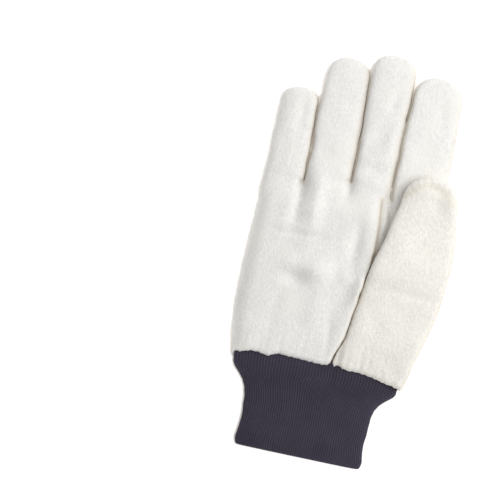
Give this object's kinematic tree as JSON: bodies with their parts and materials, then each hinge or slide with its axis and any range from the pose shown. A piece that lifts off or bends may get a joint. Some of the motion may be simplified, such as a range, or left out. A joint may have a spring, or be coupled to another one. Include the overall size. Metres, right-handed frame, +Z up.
{
  "type": "cotton work glove",
  "caption": "Right-hand white cotton canvas work glove with a navy rib-knit wrist, lying palm up with the thumb over the palm.",
  "frame": {"origin": "on the table, under the middle of the glove's outline", "axes": "+Y from the knit wrist to the fingertips, +X to the thumb's side, +Z up, out of the palm"},
  "size_m": [0.1294, 0.2616, 0.0295],
  "materials": {
    "canvas": "matte napped cotton canvas",
    "thumb_canvas": "matte napped cotton canvas, slightly creamier",
    "knit": "matte navy rib knit"
  },
  "bodies": {
    "root": {"palm_panel": "canvas", "thumb_front": "thumb_canvas", "thumb_back": "canvas", "back_strip_little": "canvas", "back_strip_ring": "canvas", "back_strip_middle": "canvas", "back_strip_index": "canvas", "knit_cuff": "knit"}
  },
  "joints": []
}
